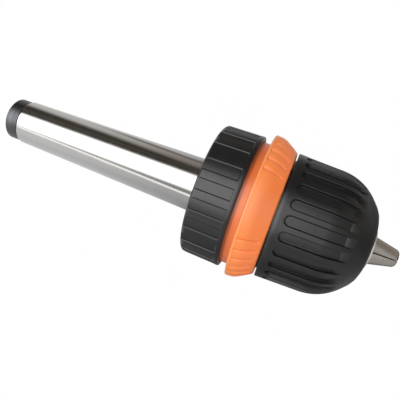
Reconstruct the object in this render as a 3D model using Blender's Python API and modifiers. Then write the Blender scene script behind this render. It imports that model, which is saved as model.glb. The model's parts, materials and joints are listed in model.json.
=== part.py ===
"""Keyless drill chuck on a No. 2 Morse taper arbor, as an assembly of separate pieces.

Everything is turned about one line, the chuck's axis. The pieces are modelled along local +Z and hang from one
empty that lays that line along world +X. Lengths along the axis start at the taper's gauge plane and grow
towards the jaws. A place on the axis is called "at", and a distance from it is a radius.
"""

import math

import bmesh
import bpy
from mathutils import Matrix, Vector

MM = 0.001
DEG = math.pi / 180

# Arbor, to the No. 2 Morse taper with a drawbar thread
GAUGE_RADIUS = 8.89 * MM
TAPER_SLOPE = 0.04995 / 2
TAPER_LENGTH = 64.0 * MM
TAIL_LENGTH = 4.6 * MM
TAIL_STEP = 0.38 * MM
TAIL_CHAMFER = 0.5 * MM
DRAWBAR_RADIUS = 4.25 * MM
DRAWBAR_DEPTH = 24.0 * MM
CENTRE_FLARE = 1.4 * MM
STUB_RADIUS = 6.2 * MM
STUB_LENGTH = 16.0 * MM

# Retaining screw through the floor of the chuck's bore
SCREW_RADIUS = 2.9 * MM
SCREW_HEAD_RADIUS = 4.6 * MM
SCREW_HEAD_HEIGHT = 3.0 * MM
SCREW_GRIP = 12.0 * MM
SCREW_KEY_RADIUS = 2.3 * MM

# Jaws
JAW_COUNT = 3
JAW_TILT = 15.0 * DEG
JAW_RADIUS = 2.9 * MM
JAW_LENGTH = 37.5 * MM
JAW_REACH = 8.3 * MM
JAW_TIP_RADIUS = 2.6 * MM
JAW_TIP_CHAMFER = 0.5 * MM
JAW_EDGE = 0.4 * MM
JAW_PHASE = 40.0 * DEG
JAW_LEAD = 1.5 * MM
CAPACITY = 10.0 * MM

# Running and seating clearances
SEAT = 0.2 * MM
RUNNING = 0.3 * MM
ROLLING = 0.1 * MM
JAW_SLIP = 0.12 * MM

# Rear ring and its steel insert
REAR_FACE = 8.5 * MM
RING_LENGTH = 12.9 * MM
RING_WALL = 1.1 * MM
RING_CORNER = 1.4 * MM
RING_DRAFT = 0.25 * MM
WEB = 4.5 * MM
JAW_BACK_ROOM = 2.4 * MM
INSERT_WALL = 1.6 * MM
GRIP_COUNT = 22
GRIP_DEPTH = 0.45 * MM
GRIP_RIM = 1.6 * MM
GRIP_PHASE = 88.3 * DEG

# Body
SHOULDER_ROOM = 4.0 * MM
HUB_LAND = 0.5 * MM
FLOOR = 3.2 * MM
FLANGE = 1.8 * MM
FLANGE_RISE = 1.1 * MM
NECK_RADIUS = 9.5 * MM
NOSE_RIM = 1.0 * MM
NOSE_EDGE = 0.15 * MM
NOSE_BARREL = 5.0 * MM
KEY_WIDTH = 3.0 * MM
KEY_DEPTH = 1.2 * MM

# Lock ring, the coloured one
TUCK = 1.5 * MM
TAIL_WALL = 1.8 * MM
THROAT = 2.9 * MM
FLARE_LENGTH = 8.2 * MM
FLARE_RISE = 3.35 * MM
FLARE_CORNER = 0.45 * MM
FLARE_BEAD = 1.0 * MM
FLARE_FALL = ((2.3, 0.1), (3.6, 0.5), (4.6, 1.1), (6.3, 2.1), (7.8, 3.1))
LOBE_PITCH = 9.6 * DEG
LOBES_PER_GROUP = 7
PAD_COUNT = 3
LOBE_DEPTH = 0.5 * MM
LOBE_RIM = 0.5 * MM
LOBE_FADE = 2.4 * MM
PAD_PHASE = 88.8 * DEG
LOCK_TURN = 30.0 * DEG

# Coupling ring, cam pins and springs
LOCK_SHIFT = 1.4 * MM
COUPLING_SETBACK = 1.1 * MM
COUPLING_SKIRT = 2.7 * MM
COUPLING_CROWN = 1.3 * MM
COUPLING_WALL = 1.6 * MM
SPRING_SOLID = 0.3 * MM
SPRING_WAVES = 5
DOG_COUNT = 12
DOG_HEIGHT = 1.2 * MM
DOG_GAP = 0.4 * MM
DOG_BACKLASH = 1.2 * DEG
PIN_RADIUS = 1.0 * MM
PIN_PROUD = 1.25 * MM
CLICK_RADIUS = 0.9 * MM
CLICK_SPAN = 36.0 * DEG
CLICK_THICKNESS = 0.4 * MM

# Thrust bearing
RACE_THICKNESS = 1.2 * MM
RACE_WIDTH = 2.8 * MM
BALL_RADIUS = 1.0 * MM
BALL_COUNT = 12
CAGE_THICKNESS = 0.9 * MM

# Split nut and the ring that holds it
NUT_LENGTH = 7.2 * MM
NUT_SAW_CUT = 0.5 * MM
NUT_RING_WALL = 2.0 * MM
DRIVE_COUNT = 4
DRIVE_WIDTH = 3.0 * MM
DRIVE_LENGTH = 2.4 * MM

# Front sleeve
SLEEVE_GAP = 0.5 * MM
SLEEVE_WALL = 2.1 * MM
SLEEVE_DRAFT = 2.0 * DEG
DOME_LENGTH = 15.9 * MM
DOME_RADIUS = 16.4 * MM
DOME_END = 46.5 * DEG
NOSE_SETBACK = 0.5 * MM
NOSE_CORNER = 1.5 * MM
NOSE_CONE = 2.2 * MM
GROOVE_COUNT = 26
GROOVE_WIDTH = 3.0 * MM
GROOVE_DEPTH = 1.0 * MM
GROOVE_START = 2.65 * MM
GROOVE_END = 6.2 * MM
GROOVE_RAMP = 3.1 * MM
GROOVE_PHASE = 91.2 * DEG

# Facets of the turned pieces
FINE = 52
COARSE = 28
ROD = 20


# Places that follow from the sizes above

RACK_TURNS = math.ceil(CAPACITY / 2 / math.sin(JAW_TILT) / JAW_LEAD)
JAW_TRAVEL = RACK_TURNS * JAW_LEAD
JAW_SPAN = JAW_RADIUS / math.cos(JAW_TILT)

web_front = REAR_FACE + WEB
jaw_tip = (
    web_front
    + JAW_BACK_ROOM
    + JAW_RADIUS * math.sin(JAW_TILT)
    + (JAW_LENGTH + JAW_TRAVEL) * math.cos(JAW_TILT)
)
nose = jaw_tip - JAW_REACH


def jaw_axis(at):
    """Distance of a jaw's own centre line from the chuck's axis."""
    return JAW_TIP_RADIUS - JAW_SPAN + (jaw_tip - at) * math.tan(JAW_TILT)


def jaw_back(at):
    """Radius that the outer side of a closed or open jaw sweeps."""
    return jaw_axis(at) + JAW_SPAN


ring_front = REAR_FACE + RING_LENGTH
lock_rear = ring_front - TUCK
lock_flare = ring_front + THROAT
lock_front = lock_flare + FLARE_LENGTH
sleeve_rear = lock_front + SLEEVE_GAP

coupling_rear = lock_flare + COUPLING_SETBACK
coupling_step = coupling_rear + COUPLING_SKIRT
dog_root = coupling_step + COUPLING_CROWN
flange_rear = coupling_step + LOCK_SHIFT + SPRING_SOLID
flange_front = flange_rear + FLANGE
race_rear = flange_front + SEAT
race_front = race_rear + RACE_THICKNESS
ball_centre = race_front + ROLLING + BALL_RADIUS
nut_rear = ball_centre + BALL_RADIUS + ROLLING
nut_front = nut_rear + NUT_LENGTH
nose_shoulder = nut_front + SEAT
nut_dog_tip = dog_root + DOG_HEIGHT + DOG_GAP

body_shoulder = web_front + SHOULDER_ROOM
socket_floor = REAR_FACE + STUB_LENGTH
bore_floor = socket_floor + FLOOR

bore_radius = CAPACITY / 2 + RUNNING
hub_radius = jaw_axis(body_shoulder) - JAW_SPAN - JAW_SLIP - HUB_LAND
barrel_radius = jaw_back(coupling_rear) + RUNNING
flange_radius = barrel_radius + FLANGE_RISE
race_inner = jaw_back(flange_front) + RUNNING
race_outer = race_inner + RACE_WIDTH
ball_circle = (race_inner + race_outer) / 2
coupling_inner = barrel_radius + SEAT
crown_inner = flange_radius + RUNNING
coupling_outer = crown_inner + COUPLING_WALL
nut_outer = race_outer - SEAT
nut_ring_outer = nut_outer + NUT_RING_WALL
drum_radius = max(coupling_outer, nut_ring_outer)
lock_inner = drum_radius + RUNNING
tail_radius = lock_inner + TAIL_WALL
flare_radius = tail_radius + FLARE_RISE
ring_recess = tail_radius + RUNNING
ring_radius = ring_recess + RING_WALL
ring_cavity = lock_inner + RUNNING
sleeve_inner = nut_ring_outer + RUNNING
sleeve_radius = sleeve_inner + SLEEVE_WALL

dome_start = nose - DOME_LENGTH
sleeve_front = nose - NOSE_SETBACK
nose_radius = bore_radius + NOSE_RIM
dome_top = sleeve_radius - (dome_start - sleeve_rear) * math.tan(SLEEVE_DRAFT)


# Making pieces


def material(name, colour, roughness, metallic):
    made = bpy.data.materials.new(name)
    made.use_nodes = True
    shader = made.node_tree.nodes["Principled BSDF"]
    shader.inputs["Base Color"].default_value = (*colour, 1.0)
    shader.inputs["Roughness"].default_value = roughness
    shader.inputs["Metallic"].default_value = metallic
    made.diffuse_color = (*colour, 1.0)
    return made


def add_object(name, mesh, holder, finish=None):
    """Links a mesh under the axis empty. Without a finish it is a cutter, which is never shown."""
    made = bpy.data.objects.new(name, mesh)
    made.parent = holder
    if finish is None:
        cutters.objects.link(made)
        made.hide_render = True
        made.display_type = "WIRE"
    else:
        parts.objects.link(made)
        mesh.materials.clear()
        mesh.materials.append(finish)
    return made


def smooth(piece, angle=32.0 * DEG):
    piece.data.shade_smooth()
    piece.data.set_sharp_from_angle(angle=angle)
    return piece


def turned(name, outline, steps, finish=None):
    """A piece turned about the axis from a closed outline of (at, radius) points."""
    area = sum(
        (b[0] - a[0]) * (b[1] + a[1]) / 2
        for a, b in zip(outline, outline[1:] + outline[:1])
    )
    points = outline if area < 0 else outline[::-1]
    mesh = bpy.data.meshes.new(name)
    count = len(points)
    edges = [
        (i, (i + 1) % count)
        for i in range(count)
        if points[i][1] > 0 or points[(i + 1) % count][1] > 0
    ]
    mesh.from_pydata([(radius, 0.0, at) for at, radius in points], edges, [])
    made = add_object(name, mesh, axis, finish)
    screw = made.modifiers.new("Turn", "SCREW")
    screw.steps = steps
    screw.render_steps = steps
    screw.use_merge_vertices = True
    screw.merge_threshold = 0.000002
    screw.use_smooth_shade = True
    return made


def loft(name, sections, finish=None):
    """A closed solid through a row of loops that have the same number of corners."""
    form = bmesh.new()
    add_loft(form, sections)
    return from_bmesh(name, form, finish)


def add_loft(form, sections, turn=0.0):
    spin = Matrix.Rotation(turn, 4, "Z")
    loops = [[form.verts.new(spin @ Vector(p)) for p in loop] for loop in sections]
    for lower, upper in zip(loops, loops[1:]):
        for i, corner in enumerate(lower):
            j = (i + 1) % len(lower)
            form.faces.new((corner, lower[j], upper[j], upper[i]))
    form.faces.new(loops[0][::-1])
    form.faces.new(loops[-1])


def from_bmesh(name, form, finish=None):
    bmesh.ops.recalc_face_normals(form, faces=form.faces)
    mesh = bpy.data.meshes.new(name)
    form.to_mesh(mesh)
    form.free()
    return add_object(name, mesh, axis, finish)


def ring_of(name, sections, turns, finish=None):
    """The same loft at each of several turns about the axis, as one object."""
    form = bmesh.new()
    for turn in turns:
        add_loft(form, sections, turn)
    return from_bmesh(name, form, finish)


def evenly(count, phase=0.0):
    return [phase + 2 * math.pi * i / count for i in range(count)]


def boolean(piece, tool, operation="DIFFERENCE"):
    step = piece.modifiers.new(operation.title(), "BOOLEAN")
    step.operation = operation
    step.solver = "EXACT"
    step.object = tool
    return piece


def block(low, high, near, far, width):
    """Sections of a bar that points outwards: between two places, two radii and a width."""
    half = width / 2
    return [
        [(radius, -half, low), (radius, half, low), (radius, half, high), (radius, -half, high)]
        for radius in (near, far)
    ]


def wedge(low, high, near, far, angle):
    """Like a block, but its sides lie on planes through the axis."""
    return [
        [
            (radius * math.cos(angle / 2), side * radius * math.sin(angle / 2), at)
            for side, at in ((-1, low), (1, low), (1, high), (-1, high))
        ]
        for radius in (near, far)
    ]


def arc(centre, radius, start, end, count):
    """Points (at, radius) on an arc. The angle is from straight outwards towards the jaws."""
    return [
        (
            centre[0] + radius * math.sin(start + (end - start) * i / count),
            centre[1] + radius * math.cos(start + (end - start) * i / count),
        )
        for i in range(count + 1)
    ]


def taper_radius(at):
    return GAUGE_RADIUS + at * TAPER_SLOPE


# The pieces


def make_arbor():
    tail = -TAPER_LENGTH
    shoulder = REAR_FACE - RUNNING
    tail_front = tail + TAIL_LENGTH
    tail_radius = taper_radius(tail_front) - TAIL_STEP
    stub_end = shoulder + STUB_LENGTH
    hole = SCREW_RADIUS + ROLLING
    hole_end = stub_end - SCREW_GRIP - RUNNING
    outline = [
        (tail, tail_radius - TAIL_CHAMFER),
        (tail + TAIL_CHAMFER, tail_radius),
        (tail_front - TAIL_STEP, tail_radius),
        (tail_front, taper_radius(tail_front)),
        (shoulder - TAIL_CHAMFER, taper_radius(shoulder - TAIL_CHAMFER)),
        (shoulder, taper_radius(shoulder) - TAIL_CHAMFER),
        (shoulder, STUB_RADIUS),
        (stub_end - TAIL_CHAMFER, STUB_RADIUS),
        (stub_end, STUB_RADIUS - TAIL_CHAMFER),
        (stub_end, hole),
        (hole_end, hole),
        (hole_end - hole, 0.0),
        (tail + DRAWBAR_DEPTH + DRAWBAR_RADIUS / 2, 0.0),
        (tail + DRAWBAR_DEPTH, DRAWBAR_RADIUS),
        (tail + CENTRE_FLARE, DRAWBAR_RADIUS),
        (tail, DRAWBAR_RADIUS + CENTRE_FLARE / 2),
    ]
    return smooth(turned("taper_arbor", outline, COARSE, bright_steel))


def make_screw():
    under_head = bore_floor + RUNNING
    top = under_head + SCREW_HEAD_HEIGHT
    tip = REAR_FACE - RUNNING + STUB_LENGTH - SCREW_GRIP
    lip = SCREW_HEAD_HEIGHT / 6
    outline = [
        (tip, 0.0),
        (tip, SCREW_RADIUS - lip),
        (tip + lip, SCREW_RADIUS),
        (under_head, SCREW_RADIUS),
        (under_head, SCREW_HEAD_RADIUS),
        (top - lip, SCREW_HEAD_RADIUS),
        (top, SCREW_HEAD_RADIUS - lip),
        (top, 0.0),
    ]
    screw = turned("retaining_screw", outline, COARSE // 2, dark_steel)
    key = [
        [
            (SCREW_KEY_RADIUS * math.cos(a), SCREW_KEY_RADIUS * math.sin(a), at)
            for a in evenly(6)
        ]
        for at in (top - SCREW_HEAD_HEIGHT * 0.65, top + SEAT)
    ]
    return smooth(boolean(screw, loft("screw_key", key)))


def jaw_bores(name, radius, start, end):
    """Slanting cylinders on the jaws' centre lines, from one distance behind the tip to another."""
    form = bmesh.new()
    for turn in evenly(JAW_COUNT, JAW_PHASE):
        place = jaw_place(turn) @ Matrix.Translation((0, 0, (start + end) / 2))
        bmesh.ops.create_cone(
            form,
            cap_ends=True,
            segments=ROD,
            radius1=radius,
            radius2=radius,
            depth=abs(end - start),
            matrix=place,
        )
    return from_bmesh(name, form)


def jaw_place(turn):
    """The frame of a jaw: its origin at the tip, and its +Z forwards along its own centre line."""
    return (
        Matrix.Rotation(turn, 4, "Z")
        @ Matrix.Translation((jaw_axis(jaw_tip), 0, jaw_tip))
        @ Matrix.Rotation(-JAW_TILT, 4, "Y")
    )


def make_body():
    head_seat = SCREW_RADIUS + RUNNING
    socket = STUB_RADIUS + ROLLING
    step_radius = race_inner - SEAT
    boss_start = sleeve_front - SLEEVE_WALL - 2 * RUNNING
    outline = [
        (REAR_FACE, socket + TAIL_CHAMFER),
        (REAR_FACE, hub_radius - TAIL_CHAMFER),
        (REAR_FACE + TAIL_CHAMFER, hub_radius),
        (body_shoulder, hub_radius),
        (body_shoulder, barrel_radius - TAIL_CHAMFER),
        (body_shoulder + TAIL_CHAMFER, barrel_radius),
        (flange_rear, barrel_radius),
        (flange_rear, flange_radius),
        (flange_front, flange_radius),
        (flange_front, step_radius),
        (race_front - SEAT, step_radius),
        (race_front - SEAT, NECK_RADIUS),
        (nose_shoulder, NECK_RADIUS),
        (nose_shoulder, nut_outer),
        (nose_shoulder + NOSE_BARREL, nut_outer),
        (boss_start, nose_radius + RUNNING),
        (boss_start + RUNNING, nose_radius),
        (nose - NOSE_EDGE, nose_radius),
        (nose, nose_radius - NOSE_EDGE),
        (nose, bore_radius),
        (bore_floor, bore_radius),
        (bore_floor, head_seat),
        (socket_floor, head_seat),
        (socket_floor, socket),
        (REAR_FACE + TAIL_CHAMFER, socket),
    ]
    body = turned("chuck_body", outline, COARSE, steel)
    reach = JAW_LENGTH + JAW_TRAVEL + JAW_BACK_ROOM
    boolean(body, jaw_bores("jaw_bores", JAW_RADIUS + JAW_SLIP, -reach, JAW_REACH))
    keyway = block(
        web_front,
        flange_rear - RUNNING,
        barrel_radius - KEY_DEPTH - SEAT,
        barrel_radius + FLANGE_RISE,
        KEY_WIDTH + 2 * SEAT,
    )
    between = evenly(JAW_COUNT, JAW_PHASE + math.pi / JAW_COUNT)
    return smooth(boolean(body, ring_of("keyways", keyway, between)))


def make_rear_ring():
    bore = hub_radius + INSERT_WALL + SEAT
    front_radius = ring_radius + RING_DRAFT
    corner = arc(
        (REAR_FACE + RING_CORNER, ring_radius - RING_CORNER), RING_CORNER, -90 * DEG, 0, 3
    )
    lip = RING_WALL / 4
    outline = [
        (REAR_FACE, bore),
        *corner,
        (ring_front - lip, front_radius),
        (ring_front, front_radius - lip),
        (ring_front, ring_recess),
        (lock_rear - CLICK_THICKNESS - 2 * SEAT, ring_recess),
        (lock_rear - CLICK_THICKNESS - 2 * SEAT, ring_cavity),
        (web_front, ring_cavity),
        (web_front, bore),
    ]
    ring = turned("rear_ring", outline, GRIP_COUNT * 2, black_plastic)
    pitch = 2 * math.pi / GRIP_COUNT
    panel = block(
        REAR_FACE - RUNNING,
        ring_front - GRIP_RIM,
        ring_radius - GRIP_DEPTH,
        ring_radius + RING_CORNER,
        ring_radius * pitch / 2,
    )
    return smooth(boolean(ring, ring_of("grip_panels", panel, evenly(GRIP_COUNT, GRIP_PHASE))))


def make_rear_insert():
    """Steel bush that the plastic ring is moulded round, and that is pressed on the body's hub."""
    outer = hub_radius + INSERT_WALL
    outline = [
        (REAR_FACE, hub_radius + SEAT),
        (REAR_FACE, outer),
        (web_front, outer),
        (web_front, hub_radius + SEAT),
    ]
    return smooth(turned("rear_insert", outline, COARSE, steel))


def flare_outline():
    """Outer side of the lock ring's flare, from its square shoulder down the cone to the front."""
    return [
        (lock_flare, tail_radius),
        (lock_flare, flare_radius - FLARE_CORNER),
        (lock_flare + FLARE_CORNER, flare_radius),
        (lock_flare + FLARE_BEAD, flare_radius),
        *[(lock_flare + along * MM, flare_radius - fall * MM) for along, fall in FLARE_FALL],
        (lock_front, tail_radius - RUNNING),
    ]


def make_lock_ring():
    outline = [
        (lock_rear, lock_inner),
        (lock_rear, tail_radius),
        *flare_outline(),
        (lock_front, lock_inner),
    ]
    ring = turned("lock_ring", outline, FINE, orange_plastic)
    boolean(ring, make_valleys())
    boolean(ring, make_cam_slots())
    notch = [
        [
            (radius, CLICK_RADIUS * math.cos(a), lock_rear + CLICK_RADIUS * math.sin(a))
            for a in evenly(8, math.pi / 8)
        ]
        for radius in (lock_inner - RUNNING, tail_radius + RUNNING)
    ]
    stops = [pin_turns()[0], pin_turns()[0] - LOCK_TURN]
    return smooth(boolean(ring, ring_of("click_notches", notch, stops)))


def make_valleys():
    """The cuts between the grip's rounded lobes, in groups with a plain pad between each two."""
    half = 0.4 * LOBE_PITCH
    sections = []
    for at, radius in flare_outline()[3:-1]:
        fade = min(1.0, (lock_front - LOBE_RIM - at) / LOBE_FADE)
        floor = [(-half, radius), (0.0, radius - LOBE_DEPTH * fade), (half, radius)]
        top = [(half, radius + LOBE_RIM), (-half, radius + LOBE_RIM)]
        sections.append([(r * math.cos(a), r * math.sin(a), at) for a, r in floor + top])
    turns = [
        group + (i - LOBES_PER_GROUP / 2) * LOBE_PITCH
        for group in evenly(PAD_COUNT, PAD_PHASE + math.pi / PAD_COUNT)
        for i in range(LOBES_PER_GROUP + 1)
    ]
    return ring_of("valleys", sections, turns)


def pin_turns():
    return evenly(JAW_COUNT, JAW_PHASE + math.pi / JAW_COUNT)


def pin_at():
    return coupling_rear + COUPLING_SKIRT / 2


def make_cam_slots():
    """Helical grooves inside the lock ring. Turning the ring slides the pins along the axis."""
    steps = 8
    half = PIN_RADIUS + SEAT
    overrun = 1.3 * half / lock_inner
    sections = []
    for i in range(steps + 1):
        share = (i / steps) * (1 + 2 * overrun / LOCK_TURN) - overrun / LOCK_TURN
        turn = -LOCK_TURN * share
        at = pin_at() + LOCK_SHIFT * min(1, max(0, share))
        sections.append(
            [
                (radius * math.cos(turn), radius * math.sin(turn), at + side)
                for radius, side in (
                    (lock_inner - RUNNING, -half),
                    (drum_radius + PIN_PROUD + RUNNING, -half),
                    (drum_radius + PIN_PROUD + RUNNING, half),
                    (lock_inner - RUNNING, half),
                )
            ]
        )
    return ring_of("cam_slots", sections, pin_turns())


def make_coupling_ring():
    outline = [
        (coupling_rear, coupling_inner),
        (coupling_rear, coupling_outer),
        (dog_root + DOG_HEIGHT, coupling_outer),
        (dog_root + DOG_HEIGHT, crown_inner),
        (coupling_step, crown_inner),
        (coupling_step, coupling_inner),
    ]
    ring = turned("coupling_ring", outline, COARSE, dark_steel)
    key = block(
        coupling_rear + SEAT,
        coupling_step - RUNNING - SEAT,
        barrel_radius - KEY_DEPTH,
        coupling_inner + COUPLING_WALL / 2,
        KEY_WIDTH,
    )
    boolean(ring, ring_of("coupling_keys", key, pin_turns()), "UNION")
    hole = pin_sections(PIN_RADIUS + ROLLING, pin_seat() - SEAT, coupling_outer + RUNNING)
    boolean(ring, ring_of("pin_holes", hole, pin_turns()))
    gap = wedge(
        dog_root,
        dog_root + DOG_HEIGHT + RUNNING,
        crown_inner - RUNNING,
        coupling_outer + RUNNING,
        math.pi / DOG_COUNT + DOG_BACKLASH,
    )
    return smooth(boolean(ring, ring_of("coupling_gaps", gap, evenly(DOG_COUNT))))


def pin_seat():
    return coupling_inner + COUPLING_WALL / 4


def pin_sections(radius, near, far):
    return [
        [(out, radius * math.cos(a), pin_at() + radius * math.sin(a)) for a in evenly(12)]
        for out in (near, far)
    ]


def make_cam_pins():
    pin = pin_sections(PIN_RADIUS, pin_seat(), drum_radius + PIN_PROUD)
    for number, turn in enumerate(pin_turns(), 1):
        smooth(ring_of(f"cam_pin_{number}", pin, [turn], bright_steel))


def make_release_spring():
    """One-turn wave spring, between the body's flange and the step inside the coupling ring."""
    thickness = SPRING_SOLID / 2
    low = coupling_step + SEAT / 2
    high = flange_rear - SEAT / 2 - thickness
    inner = barrel_radius + SEAT
    outer = flange_radius
    steps = SPRING_WAVES * 6
    gap = 2 * DEG
    sections = []
    for i in range(steps + 1):
        turn = gap + (2 * math.pi - 2 * gap) * i / steps
        at = (low + high) / 2 - (high - low) / 2 * math.cos(SPRING_WAVES * turn)
        sections.append(
            [
                (radius * math.cos(turn), radius * math.sin(turn), at + rise)
                for radius, rise in ((inner, 0), (outer, 0), (outer, thickness), (inner, thickness))
            ]
        )
    return smooth(loft("release_spring", sections, bright_steel))


def make_click_spring():
    """Leaf spring on the rear ring's ledge. Its bump clicks into either notch of the lock ring."""
    steps = 18
    flat = lock_rear - SEAT - CLICK_THICKNESS
    inner = lock_inner + RUNNING
    sections = []
    for i in range(steps + 1):
        turn = pin_turns()[0] + CLICK_SPAN * (i / steps - 0.5)
        along = (turn - pin_turns()[0]) * lock_inner / CLICK_RADIUS
        at = flat + CLICK_RADIUS * 0.8 * math.exp(-2.2 * along * along)
        sections.append(
            [
                (radius * math.cos(turn), radius * math.sin(turn), at + rise)
                for radius, rise in (
                    (inner, 0),
                    (tail_radius, 0),
                    (tail_radius, CLICK_THICKNESS),
                    (inner, CLICK_THICKNESS),
                )
            ]
        )
    return smooth(loft("click_spring", sections, bright_steel))


def make_thrust_race():
    outline = [
        (race_rear, race_inner),
        (race_rear, race_outer),
        (race_front, race_outer),
        (race_front, race_inner),
    ]
    return smooth(turned("thrust_race", outline, COARSE, bright_steel))


def make_bearing():
    low = ball_centre - CAGE_THICKNESS / 2
    high = ball_centre + CAGE_THICKNESS / 2
    outline = [(low, race_inner), (low, race_outer), (high, race_outer), (high, race_inner)]
    cage = turned("ball_cage", outline, BALL_COUNT * 2, brass)
    pocket = BALL_RADIUS + ROLLING
    pockets = bmesh.new()
    for number, turn in enumerate(evenly(BALL_COUNT), 1):
        spin = Matrix.Rotation(turn, 4, "Z") @ Matrix.Translation((ball_circle, 0, ball_centre))
        bmesh.ops.create_cone(
            pockets,
            cap_ends=True,
            segments=8,
            radius1=pocket,
            radius2=pocket,
            depth=2 * CAGE_THICKNESS,
            matrix=spin,
        )
        ball = bmesh.new()
        bmesh.ops.create_uvsphere(ball, u_segments=8, v_segments=4, radius=BALL_RADIUS)
        made = from_bmesh(f"bearing_ball_{number:02d}", ball, bright_steel)
        made.matrix_local = spin
        smooth(made, math.pi)
    smooth(boolean(cage, from_bmesh("cage_pockets", pockets)))


def make_nut_halves():
    clear = RUNNING
    outline = [
        (nut_rear, jaw_back(nut_rear) + clear),
        (nut_rear, nut_outer),
        (nut_front, nut_outer),
        (nut_front, jaw_back(nut_front) + clear),
    ]
    reach = 2 * nut_outer
    for name, side in (("nut_half_upper", 1), ("nut_half_lower", -1)):
        half = turned(name, outline, COARSE, dark_steel)
        near = side * NUT_SAW_CUT / 2
        far = side * reach
        keep = [
            [(-reach, y, at), (reach, y, at), (reach, far, at), (-reach, far, at)]
            for y, at in ((near, nut_rear - reach), (near, nut_front + reach))
        ]
        smooth(boolean(half, loft(name + "_side", keep), "INTERSECT"))


def make_nut_ring():
    front_inner = nut_outer + ROLLING
    rear_inner = race_outer + SEAT
    outline = [
        (nut_dog_tip, rear_inner),
        (nut_dog_tip, nut_ring_outer),
        (nut_front, nut_ring_outer),
        (nut_front, front_inner),
        (nut_rear, front_inner),
        (nut_rear, rear_inner),
    ]
    ring = turned("nut_ring", outline, COARSE, dark_steel)
    gap = wedge(
        nut_dog_tip - RUNNING,
        nut_dog_tip + DOG_HEIGHT,
        rear_inner - RUNNING,
        nut_ring_outer + RUNNING,
        math.pi / DOG_COUNT + DOG_BACKLASH,
    )
    gaps = ring_of("nut_ring_gaps", gap, evenly(DOG_COUNT, math.pi / DOG_COUNT))
    notch = block(
        nut_front - DRIVE_LENGTH,
        nut_front + RUNNING,
        front_inner - RUNNING,
        nut_ring_outer + RUNNING,
        DRIVE_WIDTH + 2 * SEAT,
    )
    boolean(ring, gaps)
    return smooth(boolean(ring, ring_of("drive_notches", notch, evenly(DRIVE_COUNT))))


def dome_outline(inset=0.0, steps=5):
    """Outer side of the front sleeve from the dome's start to the nose, or a line that far inside it."""
    centre = (
        dome_start - DOME_RADIUS * math.sin(SLEEVE_DRAFT),
        dome_top - DOME_RADIUS * math.cos(SLEEVE_DRAFT),
    )
    points = arc(centre, DOME_RADIUS - inset, SLEEVE_DRAFT, DOME_END, steps)
    end = points[-1]
    run = sleeve_front - NOSE_CONE - end[0] - inset
    points.append((end[0] + run, end[1] - run * math.tan(DOME_END)))
    return points


def make_front_sleeve():
    dome = dome_outline()
    hole = nose_radius + RUNNING
    corner = NOSE_CORNER
    inside = dome_outline(SLEEVE_WALL, 3)[:-1]
    outline = [
        (sleeve_rear, sleeve_inner),
        (sleeve_rear, sleeve_radius),
        *dome,
        (dome[-1][0] + corner * 0.62, dome[-1][1] - corner),
        (dome[-1][0] + corner, dome[-1][1] - 2 * corner),
        (sleeve_front, hole),
        (sleeve_front - SLEEVE_WALL, hole),
        *inside[::-1],
        (nut_front + SEAT, inside[0][1]),
        (nut_front + SEAT, sleeve_inner),
    ]
    sleeve = turned("front_sleeve", outline, FINE, black_plastic)
    dog = block(
        nut_front - DRIVE_LENGTH + SEAT,
        nut_front + SEAT + SLEEVE_WALL / 2,
        nut_outer + ROLLING + SEAT,
        sleeve_inner + SLEEVE_WALL / 2,
        DRIVE_WIDTH,
    )
    boolean(sleeve, ring_of("drive_dogs", dog, evenly(DRIVE_COUNT)), "UNION")
    return smooth(boolean(sleeve, make_grooves()))


def sleeve_surface(at):
    """Outer radius of the front sleeve at a place on the axis, up to the end of its dome."""
    line = [(sleeve_rear, sleeve_radius), *dome_outline()]
    for (a, r), (b, s) in zip(line, line[1:]):
        if at <= b:
            return r + (s - r) * (at - a) / (b - a)
    return line[-1][1]


def make_grooves():
    """Finger grooves: round at the back, level along the dome, and running out on a ramp."""
    half = GROOVE_WIDTH / 2
    start = sleeve_rear + GROOVE_START
    end = sleeve_front - GROOVE_END
    ramp = end - GROOVE_RAMP
    top = sleeve_radius + GROOVE_DEPTH
    rows = [(start + half * (1 - math.cos(a)), half * math.sin(a)) for a in (0.4, 1.0)]
    rows += [(at, half) for at in (start + half, *dome_stations(start + half, ramp), ramp)]
    rows.append((end, half * 0.75))
    sections = []
    for at, width in rows:
        depth = GROOVE_DEPTH * min(1.0, (end - at) / GROOVE_RAMP)
        floor = sleeve_surface(at) - depth
        sections.append(
            [(floor, -width, at), (floor, width, at), (top, width * 1.06, at), (top, -width * 1.06, at)]
        )
    return ring_of("grooves", sections, evenly(GROOVE_COUNT, GROOVE_PHASE))


def dome_stations(low, high):
    return [at for at, _ in dome_outline() if low < at < high]


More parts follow.
